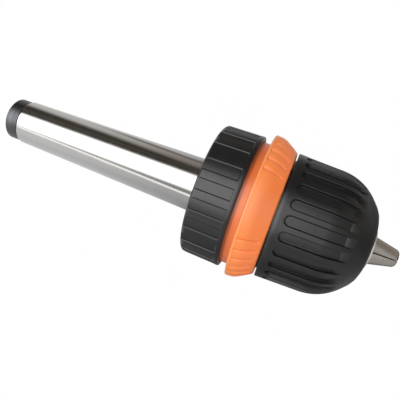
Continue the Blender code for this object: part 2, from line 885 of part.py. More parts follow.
def make_jaws():
    back = jaw_tip - (JAW_LENGTH + JAW_RADIUS) * math.cos(JAW_TILT) - JAW_RADIUS
    wide = 2 * jaw_back(back)
    nub = JAW_TIP_RADIUS - JAW_TIP_CHAMFER
    tip_form = turned(
        "jaw_tip_form",
        [
            (back, 0.0),
            (back, wide),
            (jaw_tip - JAW_TIP_CHAMFER - (wide - JAW_TIP_RADIUS), wide),
            (jaw_tip - JAW_TIP_CHAMFER, JAW_TIP_RADIUS),
            (jaw_tip, nub),
            (jaw_tip, 0.0),
        ],
        COARSE,
    )
    half_angle = math.pi / JAW_COUNT
    part_line = SEAT * 0.75

    def face_point(out):
        """Half the width of the wedge between a jaw's two flats, at a distance from the axis."""
        along = (out - part_line * math.sin(half_angle)) / math.cos(half_angle)
        return along * math.sin(half_angle) - part_line * math.cos(half_angle)

    for number, turn in enumerate(evenly(JAW_COUNT, JAW_PHASE), 1):
        form = bmesh.new()
        start = -JAW_LENGTH
        end = JAW_TIP_RADIUS
        bmesh.ops.create_cone(
            form,
            cap_ends=True,
            segments=ROD,
            radius1=JAW_RADIUS,
            radius2=JAW_RADIUS,
            depth=end - start,
            matrix=Matrix.Translation((0, 0, (start + end) / 2)),
        )
        jaw = from_bmesh(f"jaw_{number}", form, bright_steel)
        jaw.matrix_local = jaw_place(turn)
        flats = [
            [
                (JAW_EDGE, -face_point(JAW_EDGE), at),
                (wide, -face_point(wide), at),
                (wide, face_point(wide), at),
                (JAW_EDGE, face_point(JAW_EDGE), at),
            ]
            for at in (back - JAW_RADIUS, jaw_tip + JAW_RADIUS)
        ]
        boolean(jaw, ring_of(f"jaw_{number}_flats", flats, [turn]), "INTERSECT")
        smooth(boolean(jaw, tip_form, "INTERSECT"))


# The scene

for old in list(bpy.data.objects):
    bpy.data.objects.remove(old)

parts = bpy.data.collections.new("keyless_drill_chuck")
cutters = bpy.data.collections.new("cutters")
for group in (parts, cutters):
    bpy.context.scene.collection.children.link(group)

axis = bpy.data.objects.new("chuck_axis", None)
axis.rotation_euler = (90 * DEG, 0, 90 * DEG)
parts.objects.link(axis)

steel = material("turned_steel", (0.62, 0.61, 0.60), 0.22, 1.0)
bright_steel = material("ground_steel", (0.72, 0.72, 0.71), 0.15, 1.0)
dark_steel = material("oiled_steel", (0.16, 0.16, 0.17), 0.4, 1.0)
brass = material("brass", (0.78, 0.57, 0.25), 0.3, 1.0)
black_plastic = material("black_nylon", (0.025, 0.027, 0.03), 0.45, 0.0)
orange_plastic = material("orange_nylon", (0.85, 0.23, 0.05), 0.42, 0.0)

make_arbor()
make_screw()
make_body()
make_rear_ring()
make_rear_insert()
make_lock_ring()
make_coupling_ring()
make_cam_pins()
make_release_spring()
make_click_spring()
make_thrust_race()
make_bearing()
make_nut_halves()
make_nut_ring()
make_front_sleeve()
make_jaws()

bpy.context.view_layer.update()
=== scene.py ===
"""Looks of the keyless drill chuck: finer surfaces, materials, a plain studio and the photograph's camera."""

import json
import math

import bmesh
import bpy
import numpy as np
from mathutils import Matrix, Vector


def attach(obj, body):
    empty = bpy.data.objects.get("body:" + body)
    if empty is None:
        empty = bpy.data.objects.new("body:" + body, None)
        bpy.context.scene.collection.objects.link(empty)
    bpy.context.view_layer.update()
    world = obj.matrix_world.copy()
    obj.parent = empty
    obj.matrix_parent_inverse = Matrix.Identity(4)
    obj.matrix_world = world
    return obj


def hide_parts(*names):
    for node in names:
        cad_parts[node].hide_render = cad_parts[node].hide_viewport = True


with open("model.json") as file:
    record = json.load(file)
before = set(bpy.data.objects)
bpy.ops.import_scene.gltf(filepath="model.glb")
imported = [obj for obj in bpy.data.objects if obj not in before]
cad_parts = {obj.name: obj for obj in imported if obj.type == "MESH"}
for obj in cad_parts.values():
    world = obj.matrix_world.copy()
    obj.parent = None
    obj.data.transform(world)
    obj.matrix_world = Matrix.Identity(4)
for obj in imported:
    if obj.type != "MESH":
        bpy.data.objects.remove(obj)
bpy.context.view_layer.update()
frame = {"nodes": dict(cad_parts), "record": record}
nodes = frame["nodes"]

MM = 0.001
TAU = 2 * math.pi

# Sizes of the object, in millimetres. A place on its axis starts at the taper's gauge plane.
TAIL_END = -64.0
TAIL_STEP = -59.4
TAPER_FRONT = 8.2
GAUGE_R = 8.89
TAPER_SLOPE = 0.02497
TAIL_R = 7.03
DRAWBAR_R = 4.25
DRAWBAR_END = -40.0
STUB_R = 6.2
STUB_END = 24.2
SCREW_HOLE_R = 3.0
SCREW_HOLE_DEPTH = 12.3
THREAD_PITCH = 1.5
THREAD_DEPTH = 0.55

REAR = 8.5
WEB_FRONT = 13.0
RING_FRONT = 21.4
RING_R = 21.67
RING_FRONT_R = 21.92
RING_BORE = 12.3
RING_CAVITY = 18.77
RING_RECESS = 20.57
LEDGE = 19.1
RING_CORNER = 1.4
GRIPS = 22
GRIP_TURN = math.radians(1.7)
GRIP_HALF = math.radians(4.2)
GRIP_DEPTH = 0.45
GRIP_FRONT = 19.8
GRIP_WALL = 0.42

LOCK_REAR = 19.9
LOCK_FLARE = 24.3
LOCK_FRONT = 32.5
LOCK_INNER = 18.47
LOCK_TAIL = 20.27
LOCK_R = 23.62
LOBES = 7
LOBE_PITCH = math.radians(9.6)
PADS = 3
PAD_TURN = math.radians(1.2)

SLEEVE_REAR = 33.0
SLEEVE_R = 20.51
SLEEVE_INNER = 18.41
SLEEVE_STEP = 42.6
SLEEVE_DRAFT = math.radians(2)
SLEEVE_WALL = 2.1
DOME_START = 47.008
DOME_R = 16.4
DOME_END = math.radians(46.5)
SLEEVE_FRONT = 62.408
SLEEVE_HOLE = 6.6
NOSE = 62.908
NOSE_R = 6.3
GROOVES = 26
GROOVE_TURN = math.radians(-1.2)
GROOVE_HALF = 1.55
GROOVE_DEPTH = 1.0
GROOVE_START = 35.65
GROOVE_END = 56.2
GROOVE_RAMP = 3.1

JAW_TIP = 71.208
JAW_TIP_R = 2.6
JAW_TIP_CHAMFER = 0.35
JAW_R = 2.9
JAW_LENGTH = 37.5
JAW_TILT = math.radians(15)
JAW_WEDGE = math.radians(60)
JAW_GAP = 0.15
JAW_EDGE = 0.4
RACK_PITCH = 1.5
RACK_DEPTH = 0.45
RACK_START = 14.0
JAW_TURNS = [math.radians(50 - 120 * i) for i in range(3)]


def lin(r, g, b):
    """A colour as it looks on a screen, from 0 to 255, as the linear values that shaders take."""
    out = []
    for c in (r, g, b):
        c = c / 255
        out.append(c / 12.92 if c <= 0.04045 else ((c + 0.055) / 1.055) ** 2.4)
    return (*out, 1.0)


# Shaders


def fill_ramp(ramp, stops):
    """Puts stops of (position, colour) in a new colour ramp, which starts with two of its own."""
    first, last = ramp.elements[0], ramp.elements[-1]
    first.position, last.position = stops[0][0], stops[-1][0]
    first.color, last.color = (*stops[0][1][:3], 1.0), (*stops[-1][1][:3], 1.0)
    for position, colour in stops[1:-1]:
        ramp.elements.new(position).color = (*colour[:3], 1.0)


class Nodes:
    """Short calls for the nodes of one material, world or node group."""

    def __init__(self, owner):
        self.material = owner
        if isinstance(owner, bpy.types.NodeTree):
            self.tree = owner
        else:
            owner.use_nodes = True
            self.tree = owner.node_tree
        self.shader = self.tree.nodes.get("Principled BSDF")

    def add(self, kind, **values):
        node = self.tree.nodes.new(kind)
        for key, value in values.items():
            if key in node.inputs:
                node.inputs[key].default_value = value
            else:
                setattr(node, key, value)
        return node

    def link(self, a, b):
        self.tree.links.new(a, b)

    def place(self, scale=(1, 1, 1)):
        """The object's own coordinates, in metres, times a scale."""
        coord = self.add("ShaderNodeTexCoord")
        mapping = self.add("ShaderNodeMapping")
        mapping.inputs["Scale"].default_value = scale
        self.link(coord.outputs["Object"], mapping.inputs["Vector"])
        return mapping.outputs["Vector"]

    def noise(self, vector, scale, detail=3.0, roughness=0.55):
        node = self.add("ShaderNodeTexNoise", Scale=scale, Detail=detail, Roughness=roughness)
        self.link(vector, node.inputs["Vector"])
        return node.outputs["Fac"]

    def ramp(self, factor, stops):
        node = self.add("ShaderNodeValToRGB")
        fill_ramp(node.color_ramp, stops)
        self.link(factor, node.inputs["Fac"])
        return node.outputs["Color"]

    def span(self, factor, low, high):
        """The factor from 0 to 1 as a value from low to high."""
        node = self.add("ShaderNodeMapRange")
        node.inputs["To Min"].default_value = low
        node.inputs["To Max"].default_value = high
        self.link(factor, node.inputs["Value"])
        return node.outputs["Result"]

    def maths(self, operation, a, b):
        node = self.add("ShaderNodeMath", operation=operation)
        for socket, value in zip(node.inputs, (a, b)):
            if isinstance(value, (int, float)):
                socket.default_value = value
            else:
                self.link(value, socket)
        return node.outputs["Value"]

    def rise(self, value, edge, soft):
        """Goes from 0 to 1 as the value passes an edge, over a softness to each side of it."""
        node = self.add("ShaderNodeMapRange", interpolation_type="SMOOTHSTEP")
        node.inputs["From Min"].default_value = edge - soft
        node.inputs["From Max"].default_value = edge + soft
        self.link(value, node.inputs["Value"])
        return node.outputs["Result"]

    def blend(self, factor, below, above):
        """Mixes two colours, each either a socket or plain values."""
        node = self.add("ShaderNodeMixRGB")
        self.link(factor, node.inputs["Fac"])
        for socket, colour in ((node.inputs["Color1"], below), (node.inputs["Color2"], above)):
            if isinstance(colour, tuple):
                socket.default_value = (*colour[:3], 1.0)
            else:
                self.link(colour, socket)
        return node.outputs["Color"]

    def bump(self, height, strength, distance, below=None):
        """A normal roughened by a height, on top of the normal below."""
        node = self.add("ShaderNodeBump", Strength=strength, Distance=distance)
        self.link(height, node.inputs["Height"])
        if below is not None:
            self.link(below, node.inputs["Normal"])
        return node.outputs["Normal"]


def plastic(name, dark, light, roughness, grain):
    """Moulded nylon: faintly uneven in colour and gloss, with a fine eroded grain."""
    n = Nodes(bpy.data.materials.new(name))
    where = n.place()
    clouds = n.noise(where, 90.0, 4.0)
    n.link(n.ramp(clouds, [(0.3, dark), (0.7, light)]), n.shader.inputs["Base Color"])
    gloss = n.noise(where, 420.0, 2.0)
    n.link(n.span(gloss, roughness - 0.05, roughness + 0.05), n.shader.inputs["Roughness"])
    fine = n.noise(where, 3800.0, 2.0)
    wide = n.noise(where, 260.0, 2.0)
    soft = n.bump(wide, 0.2, 0.0001)
    n.link(n.bump(fine, grain, 0.00003, soft), n.shader.inputs["Normal"])
    return n


def turned_metal(name, dark, light, roughness, lines, mark=0.3):
    """Metal with fine marks of turning or grinding, which run round the axis."""
    n = Nodes(bpy.data.materials.new(name))
    round_it = n.place((1.0, 0.02, 0.02))
    marks = n.noise(round_it, lines, 2.0, 0.7)
    broad = n.noise(round_it, lines / 12, 3.0, 0.6)
    smudge = n.noise(n.place(), 110.0, 3.0)
    mixed = n.maths("ADD", n.maths("MULTIPLY", marks, 0.6), n.maths("MULTIPLY", smudge, 0.4))
    n.link(n.ramp(mixed, [(0.35, dark), (0.65, light)]), n.shader.inputs["Base Color"])
    rough = n.maths("ADD", n.maths("MULTIPLY", broad, 0.5), n.maths("MULTIPLY", smudge, 0.5))
    n.link(n.span(rough, roughness - 0.05, roughness + 0.07), n.shader.inputs["Roughness"])
    n.link(n.bump(marks, mark, 0.000012), n.shader.inputs["Normal"])
    n.shader.inputs["Metallic"].default_value = 1.0
    return n


def paint_orange_sheen_and_shade(n):
    """Paints light and shade into the orange: a paler painted sheen over its tail and bead, a painted
    highlight along the bead's crest, and painted shade in the seam behind them.
    """
    split = n.add("ShaderNodeSeparateXYZ")
    n.link(n.add("ShaderNodeTexCoord").outputs["Object"], split.inputs["Vector"])
    at = split.outputs["X"]

    def band(low, low_soft, high, high_soft):
        """1 from low to high, which count from the flare's shoulder in millimetres, and 0 elsewhere."""
        inside = n.rise(at, (LOCK_FLARE + low) * MM, low_soft * MM)
        return n.maths("SUBTRACT", inside, n.rise(at, (LOCK_FLARE + high) * MM, high_soft * MM))

    socket = n.shader.inputs["Base Color"]
    # Painted sheen: a paler orange over the tail and the bead.
    colour = n.blend(band(-1.1, 0.5, 3.4, 1.9), socket.links[0].from_socket, lin(244, 136, 68))
    # Painted highlight: a still paler line along the bead's crest.
    colour = n.blend(n.maths("MULTIPLY", band(0.15, 0.1, 0.65, 0.15), 0.7), colour, lin(252, 160, 96))
    # Painted shade: the orange darkened in the seam between the tail and the rear ring.
    seam_shade = n.maths("MULTIPLY", band(-9.0, 1.0, -2.0, 0.4), 0.6)
    n.link(n.blend(seam_shade, colour, lin(84, 40, 22)), socket)


def make_materials():
    """All materials of the object, by short names."""
    black = plastic("black_plastic", lin(14, 15, 16), lin(20, 21, 22), 0.33, 0.3)
    black.shader.inputs["Specular IOR Level"].default_value = 0.62
    orange = plastic("orange_plastic", lin(236, 122, 54), lin(244, 128, 62), 0.36, 0.22)
    orange.shader.inputs["Specular IOR Level"].default_value = 0.72
    paint_orange_sheen_and_shade(orange)
    orange.shader.inputs["Subsurface Weight"].default_value = 0.08
    orange.shader.inputs["Subsurface Radius"].default_value = (0.0012, 0.0005, 0.0002)
    orange.shader.inputs["Subsurface Scale"].default_value = 1.0
    ground = turned_metal("ground_arbor", (0.47, 0.465, 0.46), (0.54, 0.535, 0.53), 0.13, 9000.0, 0.12)
    oxide = turned_metal("oxide_end", (0.06, 0.062, 0.065), (0.13, 0.134, 0.14), 0.38, 2600.0, 0.3)
    jaw = turned_metal("jaw_steel", (0.42, 0.39, 0.36), (0.54, 0.51, 0.47), 0.22, 3500.0, 0.25)
    turned = turned_metal("turned_body", (0.5, 0.495, 0.48), (0.64, 0.635, 0.62), 0.2, 3000.0)
    # Painted highlight: a far paler, cream copy of the body's steel, so that the nose rim shows as a bright
    # line.
    nose = turned_metal("nose_steel_painted_highlight", (0.86, 0.84, 0.78), (0.93, 0.91, 0.85), 0.5, 3000.0)
    oiled = turned_metal("oiled_steel", (0.05, 0.05, 0.052), (0.11, 0.11, 0.115), 0.38, 2400.0)
    brass = turned_metal("cage_brass", (0.62, 0.43, 0.17), (0.76, 0.56, 0.25), 0.3, 2400.0)
    return {
        "black": black.material,
        "orange": orange.material,
        "ground": ground.material,
        "oxide": oxide.material,
        "jaw": jaw.material,
        "turned": turned.material,
        "nose": nose.material,
        "oiled": oiled.material,
        "brass": brass.material,
    }


# Meshes


def fillet(points, index, size, steps=4):
    """Rounds one corner of a line of points with a curve that starts and ends size away from it."""
    a, b, c = (np.array(points[i % len(points)]) for i in (index - 1, index, index + 1))
    start = b + (a - b) / np.linalg.norm(a - b) * size
    end = b + (c - b) / np.linalg.norm(c - b) * size
    share = np.linspace(0, 1, steps + 1)[:, None]
    return [tuple(p) for p in (1 - share) ** 2 * start + 2 * share * (1 - share) * b + share**2 * end]


def rounded(points, sizes):
    """A closed line with some of its corners rounded: sizes maps a corner's number to its size."""
    out = []
    for i, p in enumerate(points):
        out += fillet(points, i, sizes[i]) if i in sizes else [tuple(p)]
    return out


def dense(points, step):
    """The same closed line with no stretch longer than step."""
    out = []
    for a, b in zip(points, points[1:] + points[:1]):
        count = max(1, int(math.ceil(math.dist(a, b) / step)))
        out += [tuple(np.array(a) + (np.array(b) - np.array(a)) * i / count) for i in range(count)]
    return out


def spun(name, outline, turns, material, body, bend=None, sharp=28):
    """A closed mesh of an outline turned about the axis. bend gives each point's new radius and turn."""
    line = np.array(outline, float)
    turns = np.array(turns, float)
    at = np.repeat(line[:, 0][None, :], len(turns), 0)
    radius = np.repeat(line[:, 1][None, :], len(turns), 0)
    turn = np.repeat(turns[:, None], len(line), 1)
    if bend is not None:
        radius, turn = bend(at, radius, turn)
    points = np.stack([at, radius * np.sin(turn), radius * np.cos(turn)], -1).reshape(-1, 3) * MM
    rows, columns = len(turns), len(line)
    i = np.arange(rows * columns).reshape(rows, columns)
    quads = np.stack([i, np.roll(i, -1, 1), np.roll(np.roll(i, -1, 1), -1, 0), np.roll(i, -1, 0)], -1)
    return solid(name, points, quads.reshape(-1, 4), material, body, sharp)


def solid(name, points, faces, material, body, sharp=28):
    """A closed mesh in a material, which rides a body. Edges of more than sharp degrees stay sharp."""
    form = bmesh.new()
    made = bpy.data.meshes.new(name)
    made.from_pydata(np.asarray(points).tolist(), [], [list(map(int, f)) for f in faces])
    form.from_mesh(made)
    bmesh.ops.remove_doubles(form, verts=form.verts, dist=1e-7)
    bmesh.ops.dissolve_degenerate(form, edges=form.edges, dist=1e-8)
    bmesh.ops.recalc_face_normals(form, faces=form.faces)
    if form.calc_volume(signed=True) < 0:
        bmesh.ops.reverse_faces(form, faces=form.faces)
    form.to_mesh(made)
    form.free()
    made.shade_smooth()
    made.set_sharp_from_angle(angle=math.radians(sharp))
    piece = bpy.data.objects.new(name, made)
    bpy.context.scene.collection.objects.link(piece)
    made.materials.append(material)
    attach(piece, body)
    return piece


def even(count):
    """Turns evenly spaced round the axis."""
    return np.arange(count) * TAU / count


def smoothstep(x):
    """Goes smoothly from 0 to 1 as x does."""
    x = np.clip(x, 0, 1)
    return x * x * (3 - 2 * x)


def taper_r(at):
    """The Morse taper's radius at a place on the axis."""
    return GAUGE_R + TAPER_SLOPE * at


def make_arbor(paint):
    """The ground taper with its blackened end, and the drawbar's thread inside it."""
    tail = [
        (TAIL_END, DRAWBAR_R + 0.7),
        (TAIL_END, TAIL_R - 0.5),
        (TAIL_END + 0.5, TAIL_R),
        (TAIL_STEP - 0.15, TAIL_R),
        (TAIL_STEP - 0.15, DRAWBAR_R),
        (TAIL_END + 1.4, DRAWBAR_R),
    ]
    thread_start = TAIL_END + 1.8

    def thread(at, radius, turn):
        inside = (radius < DRAWBAR_R + 0.1) & (at > thread_start) & (at < DRAWBAR_END - 1.5)
        phase = np.mod(at / THREAD_PITCH + turn / TAU, 1.0)
        cut = THREAD_DEPTH * (1 - np.abs(2 * phase - 1) * 1.25).clip(0, 1)
        ease = smoothstep((at - thread_start) / 1.2)
        return np.where(inside, radius + cut * ease, radius), turn

    turns = even(144)
    band = dense(rounded(tail, {1: 0.25, 2: 0.25}), 0.35)
    end = spun("taper_arbor_end", band, turns, paint["oxide"], "body", thread)
    front = [
        (TAIL_STEP, DRAWBAR_R),
        (TAIL_STEP, TAIL_R),
        (TAIL_STEP + 0.02, taper_r(TAIL_STEP) - 0.35),
        (TAIL_STEP + 0.4, taper_r(TAIL_STEP)),
        (TAPER_FRONT - 0.5, taper_r(TAPER_FRONT - 0.5)),
        (TAPER_FRONT, taper_r(TAPER_FRONT) - 0.5),
        (TAPER_FRONT, STUB_R),
        (STUB_END - 0.5, STUB_R),
        (STUB_END, STUB_R - 0.5),
        (STUB_END, SCREW_HOLE_R),
        (STUB_END - SCREW_HOLE_DEPTH, SCREW_HOLE_R),
        (STUB_END - SCREW_HOLE_DEPTH, 0.02),
        (DRAWBAR_END + 2, 0.02),
        (DRAWBAR_END, DRAWBAR_R),
    ]
    stretch = dense(rounded(front, {3: 0.2, 4: 0.2, 5: 0.2}), 0.8)
    shaft = spun("taper_arbor_shaft", stretch, turns, paint["ground"], "body", thread)
    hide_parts("taper_arbor")


# A panel's wall is a quarter round from the ring's skin down to the panel's floor
WALL_STEPS = (0.0, 0.2, 0.4, 0.58, 0.74, 0.87, 0.96, 1.0)


def make_rear_ring(paint):
    """The holding ring, with shallow panels all round it that are open to the rear."""
    corner_end = REAR + RING_CORNER
    back = [
        (REAR + RING_CORNER * (1 - math.cos(a)), RING_R - RING_CORNER * (1 - math.sin(a)))
        for a in np.linspace(0.0, math.pi / 2, 15)
    ]
    draft = (RING_FRONT_R - RING_R) / (RING_FRONT - corner_end)
    skin = [corner_end + 0.5, GRIP_FRONT - 0.6, *[GRIP_FRONT + GRIP_WALL * s for s in WALL_STEPS]]
    line = [
        (REAR, RING_BORE),
        *back,
        *[(at, RING_R + (at - corner_end) * draft) for at in skin],
        (RING_FRONT - 0.3, RING_FRONT_R - 0.01),
        (RING_FRONT - 0.1, RING_FRONT_R - 0.08),
        (RING_FRONT, RING_FRONT_R - 0.28),
        (RING_FRONT, RING_RECESS),
        (LEDGE, RING_RECESS),
        (LEDGE, RING_CAVITY),
        (WEB_FRONT, RING_CAVITY),
        (WEB_FRONT, RING_BORE),
    ]
    pitch = TAU / GRIPS
    edge = GRIP_WALL / RING_R
    rim = GRIP_HALF + edge
    share = [-GRIP_HALF - edge * (1 - s) for s in WALL_STEPS]
    share += [GRIP_HALF * s for s in (-0.66, -0.33, 0, 0.33, 0.66)]
    share += [GRIP_HALF + edge * (1 - s) for s in WALL_STEPS[::-1]]
    share += [rim + (pitch - 2 * rim) * s for s in (0.25, 0.5, 0.75)]
    turns = [GRIP_TURN + i * pitch + t for i in range(GRIPS) for t in share]

    def panels(at, radius, turn):
        place = np.abs(np.mod(turn - GRIP_TURN + pitch / 2, pitch) - pitch / 2)
        across = np.clip((rim - place) / edge, 0, 1)
        along = np.clip((GRIP_FRONT + GRIP_WALL - at) / GRIP_WALL, 0, 1)
        drop = GRIP_DEPTH * (1 - np.sqrt(1 - np.minimum(across, along) ** 2))
        outside = (radius > RING_R - RING_CORNER - 0.01) & (at < GRIP_FRONT + GRIP_WALL)
        plain = RING_R + np.maximum(0, at - corner_end) * draft
        return np.where(outside, np.minimum(radius, plain - drop), radius), turn

    ring = spun("rear_ring_shell", dense(line, 1.6), turns, paint["black"], "body", panels, 40)
    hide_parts("rear_ring")


# The flare's outer line: how far in front of its shoulder, and how far inside its largest radius
FLARE = [
    (0.0, -0.7),
    (0.04, -0.42),
    (0.12, -0.2),
    (0.25, -0.06),
    (0.38, -0.01),
    (0.5, 0.0),
    (0.62, -0.015),
    (0.8, -0.045),
    (1.1, -0.07),
    (1.7, -0.09),
    (2.3, -0.16),
    (2.9, -0.3),
    (3.6, -0.55),
    (4.1, -0.81),
    (4.6, -1.11),
    (5.45, -1.61),
    (6.3, -2.12),
    (7.0, -2.58),
    (7.35, -2.82),
    (7.6, -2.97),
    (7.85, -3.15),
    (8.05, -3.4),
    (8.2, -3.75),
]


def make_lock_ring(paint):
    """The coloured ring: a plain tail, a bead, and a flare with rounded lobes between three plain pads."""
    group = TAU / PADS
    grip = LOBES * LOBE_PITCH
    pad = group - grip
    line = [
        (LOCK_REAR, LOCK_INNER),
        (LOCK_REAR, LOCK_TAIL - 1.1),
        (LOCK_REAR + 0.1, LOCK_TAIL - 0.7),
        (LOCK_REAR + 0.26, LOCK_TAIL - 0.36),
        (LOCK_REAR + 0.46, LOCK_TAIL - 0.13),
        (LOCK_REAR + 0.66, LOCK_TAIL - 0.03),
        (LOCK_REAR + 0.85, LOCK_TAIL),
        (LOCK_FLARE - 0.25, LOCK_TAIL),
        (LOCK_FLARE - 0.03, LOCK_TAIL + 0.2),
        *[(LOCK_FLARE + a, LOCK_R + fall) for a, fall in FLARE],
        (LOCK_FRONT, LOCK_INNER + 0.3),
        (LOCK_FRONT - 0.3, LOCK_INNER),
    ]
    across = (0.25, 0.42, 0.56, 0.68, 0.78, 0.87, 0.94)
    across = (*[-s for s in across[::-1]], 0.0, *across)
    turns = []
    for i in range(PADS):
        centre = PAD_TURN + group * (i + 0.5)
        for lobe in range(LOBES):
            middle = centre + (lobe - (LOBES - 1) / 2) * LOBE_PITCH
            turns += [middle - LOBE_PITCH / 2, *[middle + s * LOBE_PITCH / 2 for s in across]]
        edge = centre + grip / 2
        turns += [edge + pad * s for s in (0, 0.01, 0.03, 0.06, *np.linspace(0.1, 0.9, 17), 0.94, 0.97, 0.99)]

    def lobed(at, radius, turn):
        along = at - LOCK_FLARE
        start = smoothstep((along - 0.75) / 0.45)
        fade = smoothstep((7.4 - along) / 1.2)
        sector = np.mod(turn - PAD_TURN, group) - group / 2
        inside = np.abs(sector) < grip / 2 + 1e-9
        place = np.mod(sector + grip / 2, LOBE_PITCH) / LOBE_PITCH * 2 - 1
        valley = 0.12 * place**2 + 0.6 * np.abs(place) ** 5
        shy = np.abs(np.abs(sector) - grip / 2) * LOCK_R
        rim = 0.72 * np.clip(1 - shy / 0.7, 0, 1) ** 3
        drop = np.where(inside, valley, rim)
        outside = radius > LOCK_TAIL + 0.12
        return np.where(outside, radius - drop * start * fade, radius), turn

    ring = spun("lock_ring_shell", dense(line, 0.3), turns, paint["orange"], "lock", lobed, 38)
    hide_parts("lock_ring")


def dome_line(inset, steps):
    """The sleeve's outer line from the dome's start to the nose, or one that far inside it."""
    top = SLEEVE_R - (DOME_START - SLEEVE_REAR) * math.tan(SLEEVE_DRAFT)
    centre = (DOME_START - DOME_R * math.sin(SLEEVE_DRAFT), top - DOME_R * math.cos(SLEEVE_DRAFT))
    angles = [SLEEVE_DRAFT + (DOME_END - SLEEVE_DRAFT) * i / steps for i in range(steps + 1)]
    points = [
        (centre[0] + (DOME_R - inset) * math.sin(a), centre[1] + (DOME_R - inset) * math.cos(a))
        for a in angles
    ]
    run = SLEEVE_FRONT - 2.2 - points[-1][0] - inset
    points.append((points[-1][0] + run, points[-1][1] - run * math.tan(DOME_END)))
    return points


# A groove's wall: how far outside the groove's edge, and the share of its depth there
GROOVE_WALL = [
    (-0.13, 1.0),
    (-0.1, 0.985),
    (-0.085, 0.95),
    (0.02, 0.2),
    (0.035, 0.138),
    (0.06, 0.082),
    (0.1, 0.038),
    (0.15, 0.01),
    (0.21, 0.0),
]


def make_sleeve(paint):
    """The front sleeve: a long dome with finger grooves, round at the back, that run out near the nose."""
    back = GROOVE_START + GROOVE_HALF
    offsets, shares = zip(*GROOVE_WALL)
    lip = offsets[-1]
    dome = dome_line(0, 60)
    inner = dome_line(SLEEVE_WALL, 10)[:-1]
    tip = dome[-1]
    stations = [SLEEVE_REAR + 0.25, SLEEVE_REAR + 1.2]
    stations += [GROOVE_START - s for s in offsets[::-1]]
    stations += [back - GROOVE_HALF * math.cos(a) for a in np.linspace(0.55, math.pi / 2, 12)]
    stations += list(np.arange(back + 0.6, DOME_START - 0.1, 0.6))
    line = [
        (SLEEVE_REAR, SLEEVE_INNER),
        (SLEEVE_REAR, SLEEVE_R - 0.25),
        (SLEEVE_REAR + 0.08, SLEEVE_R - 0.08),
        *[(at, SLEEVE_R - (at - SLEEVE_REAR) * math.tan(SLEEVE_DRAFT)) for at in stations],
        *dome[:-1],
        *fillet([dome[-2], tip, (tip[0] + 0.93, tip[1] - 1.5)], 1, 0.8),
        (tip[0] + 0.93, tip[1] - 1.5),
        (tip[0] + 1.5, tip[1] - 3.0),
        (SLEEVE_FRONT - 0.08, SLEEVE_HOLE + 0.25),
        (SLEEVE_FRONT - 0.2, SLEEVE_HOLE),
        (SLEEVE_FRONT - SLEEVE_WALL, SLEEVE_HOLE),
        *inner[::-1],
        (SLEEVE_STEP, inner[0][1]),
        (SLEEVE_STEP, SLEEVE_INNER),
    ]
    pitch = TAU / GROOVES
    floor_steps = (-0.8, -0.5, -0.2, 0, 0.2, 0.5, 0.8)
    land_steps = (0.2, 0.5, 0.8)
    kinds = [("land", -1, s) for s in land_steps[::-1]]
    kinds += [("wall", -1, s) for s in offsets[::-1]]
    kinds += [("floor", 1, s) for s in floor_steps]
    kinds += [("wall", 1, s) for s in offsets]
    kinds += [("land", 1, s) for s in (*land_steps, 1.0)]
    steps = len(kinds)

    def half_width(at):
        arc = np.sqrt(np.clip(GROOVE_HALF**2 - (back - at) ** 2, 0.0, None))
        return np.where(at < back, np.maximum(arc, 0.25), GROOVE_HALF - 0.12 * smoothstep((at - 46) / 9))

    def grooved(at, radius, turn):
        """Takes turns that are numbers: which groove, and which of its places a point belongs to."""
        groove, kind = np.divmod(np.round(turn).astype(int), steps)
        limit = pitch / 2 * radius
        width = np.minimum(half_width(at), 0.76 * limit)
        squeeze = np.minimum(1.0, 0.2 * limit / lip)
        rim = width + lip * squeeze
        place = np.zeros_like(radius)
        for number, (part, side, share) in enumerate(kinds):
            spot = {
                "wall": side * (width + share * squeeze),
                "floor": share * (width + offsets[0] * squeeze),
                "land": side * (rim + (limit - rim) * share),
            }[part]
            place = np.where(kind == number, spot, place)
        round_end = np.hypot(place, at - back) - GROOVE_HALF
        away = np.where(at < back, round_end, (np.abs(place) - width) / squeeze)
        sides = np.interp(away, offsets, shares)
        run_out = np.clip((GROOVE_END - at) / GROOVE_RAMP, 0, 1) ** 1.35
        deep = GROOVE_DEPTH + 0.15 * smoothstep((at - 40) / 12)
        outside = radius > np.interp(at, [SLEEVE_REAR, 46, 54, 57], [19.2, 18.9, 17.2, 15.0])
        new_turn = GROOVE_TURN + groove * pitch + place / radius
        return np.where(outside & (at < GROOVE_END), radius - deep * run_out * sides, radius), new_turn

    turns = np.arange(GROOVES * steps)
    sleeve = spun("front_sleeve_shell", dense(line, 2.0), turns, paint["black"], "sleeve", grooved, 42)
    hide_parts("front_sleeve")


